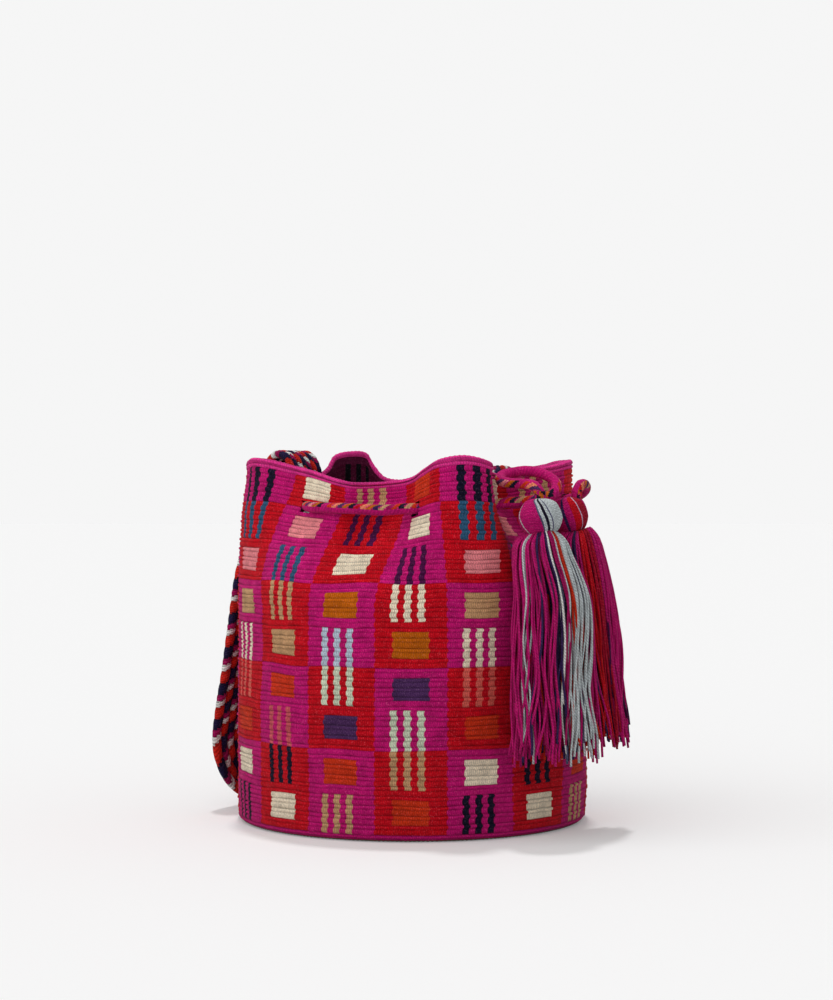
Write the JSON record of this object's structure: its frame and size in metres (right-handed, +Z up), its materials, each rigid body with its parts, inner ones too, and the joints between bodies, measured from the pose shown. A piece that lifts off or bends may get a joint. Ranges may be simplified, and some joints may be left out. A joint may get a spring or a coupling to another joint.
{
  "type": "crocheted mochila bag",
  "caption": "Round crocheted bucket bag with a drawn mouth, a braided drawstring with two tassels, and a woven shoulder strap.",
  "frame": {"origin": "centre of the underside of the base, on the surface that the bag stands on", "axes": "+Z up; the front, where the drawstring crosses the recess in the rim, faces -Y; the tassels hang on the +X side"},
  "size_m": [0.2977, 0.2704, 0.2695],
  "materials": {
    "crochet_cotton": "tight single crochet in cotton yarn, magenta and red blocks with small bars and rectangles",
    "braided_cord": "braided cotton cord, magenta with a line of coloured spots",
    "strap_weave": "band of plied cotton cords in four colours",
    "sewing_yarn": "cotton sewing yarn",
    "binding_yarn": "cotton yarn wound round the neck",
    "magenta_strands": "twisted two-ply cotton strands",
    "violet_strands": "twisted two-ply cotton strands",
    "silver_strands": "twisted two-ply cotton strands",
    "rust_strands": "twisted two-ply cotton strands",
    "crimson_strands": "twisted two-ply cotton strands",
    "plum_strands": "twisted two-ply cotton strands"
  },
  "bodies": {
    "bag": {"pouch": "crochet_cotton", "drawstring": "braided_cord", "strap": "strap_weave", "strap_seam_left": "sewing_yarn", "strap_seam_right": "sewing_yarn"},
    "tassel_front": {"tassel_front_magenta_strands": "magenta_strands", "tassel_front_violet_strands": "violet_strands", "tassel_front_silver_strands": "silver_strands", "tassel_front_rust_strands": "rust_strands", "tassel_front_binding": "binding_yarn"},
    "tassel_back": {"tassel_back_magenta_strands": "magenta_strands", "tassel_back_crimson_strands": "crimson_strands", "tassel_back_plum_strands": "plum_strands", "tassel_back_binding": "binding_yarn"}
  },
  "joints": [
    {"name": "tassel_front_swing", "type": "hinge", "parent": "bag", "child": "tassel_front", "pos_m": [0.087, -0.113, 0.236], "axis": [-0.7878, -0.6159, 0], "range_deg": [0, 60]},
    {"name": "tassel_back_swing", "type": "hinge", "parent": "bag", "child": "tassel_back", "pos_m": [0.114, -0.081, 0.237], "axis": [-0.4691, -0.8832, 0], "range_deg": [0, 60]}
  ]
}
